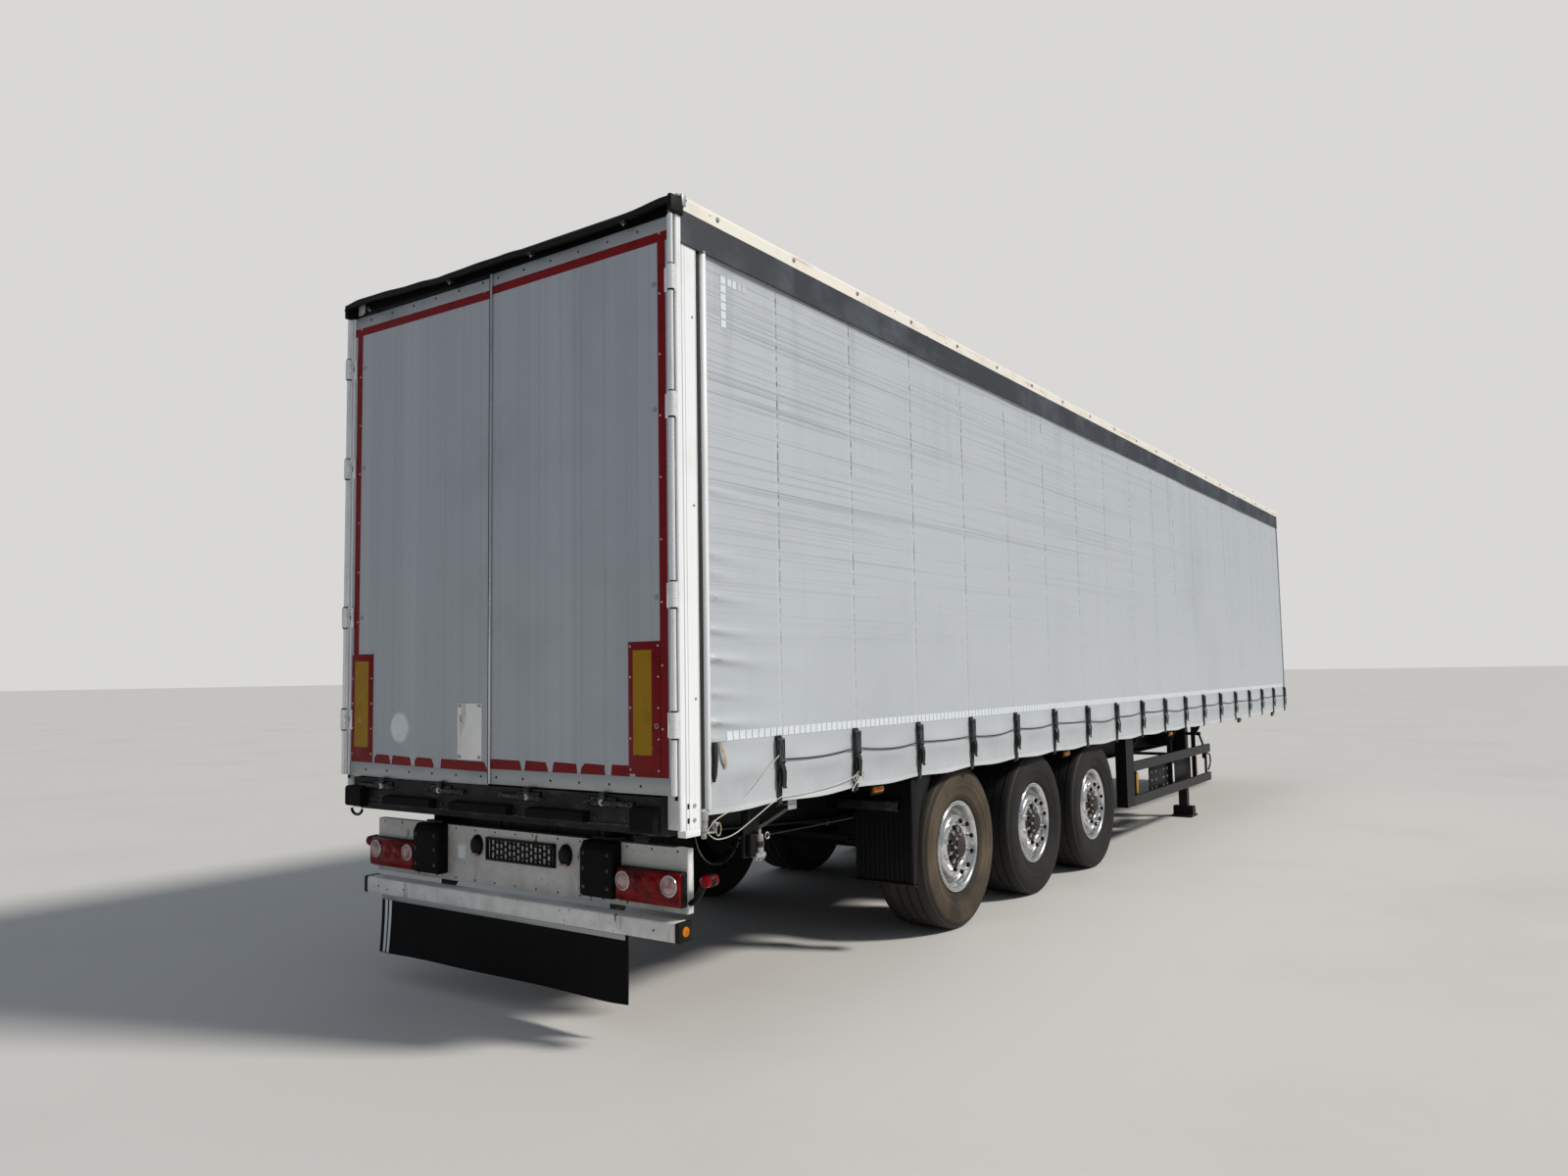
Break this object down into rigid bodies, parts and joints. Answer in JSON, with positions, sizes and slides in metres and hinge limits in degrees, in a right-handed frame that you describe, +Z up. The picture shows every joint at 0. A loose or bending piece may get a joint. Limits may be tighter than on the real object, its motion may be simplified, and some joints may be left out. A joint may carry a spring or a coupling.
{
  "type": "semi trailer",
  "caption": "Curtain side semi trailer with a gooseneck chassis, kingpin, free turning wheels, two hinged rear doors and landing legs on the ground.",
  "frame": {"origin": "on the ground, under the middle of the overall length and width", "axes": "+X right when facing forward, +Y towards the kingpin and the front wall, +Z up"},
  "size_m": [2.58, 13.715, 3.98],
  "materials": {
    "black_rubber": "matt",
    "tank_black": "gloss",
    "chassis_black": "satin, dusty",
    "webbing": "woven",
    "curtain": "coated fabric, satin",
    "silver_panel": "coated, vertical planks",
    "deck": "coated plywood",
    "bare_steel": "worn",
    "white_paint": "semi gloss, scratched",
    "frame_black": "satin",
    "polished_rim": "polished",
    "cream_paint": "semi gloss",
    "roof_cover": "coated fabric",
    "guard_grey": "satin",
    "red_lens": "gloss",
    "tyre": "dusty",
    "valance": "coated fabric"
  },
  "bodies": {
    "chassis": {"air_springs": "black_rubber", "air_tanks": "tank_black", "axles": "chassis_black", "bump_stops": "black_rubber", "chassis_beams": "chassis_black", "coupler_plate": "chassis_black", "cross_members": "chassis_black", "curtain_fittings": "webbing", "curtains": "curtain", "dock_buffers": "black_rubber", "floor": "deck", "front_posts": "silver_panel", "front_wall": "silver_panel", "kingpin": "bare_steel", "lamp_panel": "white_paint", "landing_legs": "frame_black", "leg_feet": "frame_black", "mud_wings": "black_rubber", "rear_flap": "black_rubber", "rear_header": "frame_black", "rear_lip": "black_rubber", "rear_posts": "white_paint", "rear_sill": "frame_black", "roof_bows": "silver_panel", "roof_rails": "cream_paint", "roof_skin": "roof_cover", "side_guards": "guard_grey", "side_posts": "silver_panel", "side_rails": "frame_black", "suspension_arms": "chassis_black", "tail_lamps": "red_lens", "underrun_beam": "white_paint", "valances": "valance", "valve_unit": "frame_black"},
    "door_left_leaf": {"door_left": "silver_panel"},
    "door_right_leaf": {"door_right": "silver_panel"},
    "wheel_1_left": {"rim_1_left": "polished_rim", "tyre_1_left": "tyre"},
    "wheel_1_right": {"rim_1_right": "polished_rim", "tyre_1_right": "tyre"},
    "wheel_2_left": {"rim_2_left": "polished_rim", "tyre_2_left": "tyre"},
    "wheel_2_right": {"rim_2_right": "polished_rim", "tyre_2_right": "tyre"},
    "wheel_3_left": {"rim_3_left": "polished_rim", "tyre_3_left": "tyre"},
    "wheel_3_right": {"rim_3_right": "polished_rim", "tyre_3_right": "tyre"}
  },
  "joints": [
    {"name": "door_right_hinge", "type": "hinge", "parent": "chassis", "child": "door_right_leaf", "pos_m": [1.264, -6.8095, 2.5], "axis": [0, 0, 1], "range_deg": [0, 268]},
    {"name": "door_left_hinge", "type": "hinge", "parent": "chassis", "child": "door_left_leaf", "pos_m": [-1.264, -6.8095, 2.5], "axis": [0, 0, -1], "range_deg": [0, 268]},
    {"name": "wheel_1_left_spin", "type": "hinge", "parent": "chassis", "child": "wheel_1_left", "pos_m": [-1.02, -3.8275, 0.536], "axis": [1, 0, 0], "continuous": true},
    {"name": "wheel_1_right_spin", "type": "hinge", "parent": "chassis", "child": "wheel_1_right", "pos_m": [1.02, -3.8275, 0.536], "axis": [1, 0, 0], "continuous": true},
    {"name": "wheel_2_left_spin", "type": "hinge", "parent": "chassis", "child": "wheel_2_left", "pos_m": [-1.02, -2.5175, 0.536], "axis": [1, 0, 0], "continuous": true},
    {"name": "wheel_2_right_spin", "type": "hinge", "parent": "chassis", "child": "wheel_2_right", "pos_m": [1.02, -2.5175, 0.536], "axis": [1, 0, 0], "continuous": true},
    {"name": "wheel_3_left_spin", "type": "hinge", "parent": "chassis", "child": "wheel_3_left", "pos_m": [-1.02, -1.2075, 0.536], "axis": [1, 0, 0], "continuous": true},
    {"name": "wheel_3_right_spin", "type": "hinge", "parent": "chassis", "child": "wheel_3_right", "pos_m": [1.02, -1.2075, 0.536], "axis": [1, 0, 0], "continuous": true}
  ]
}
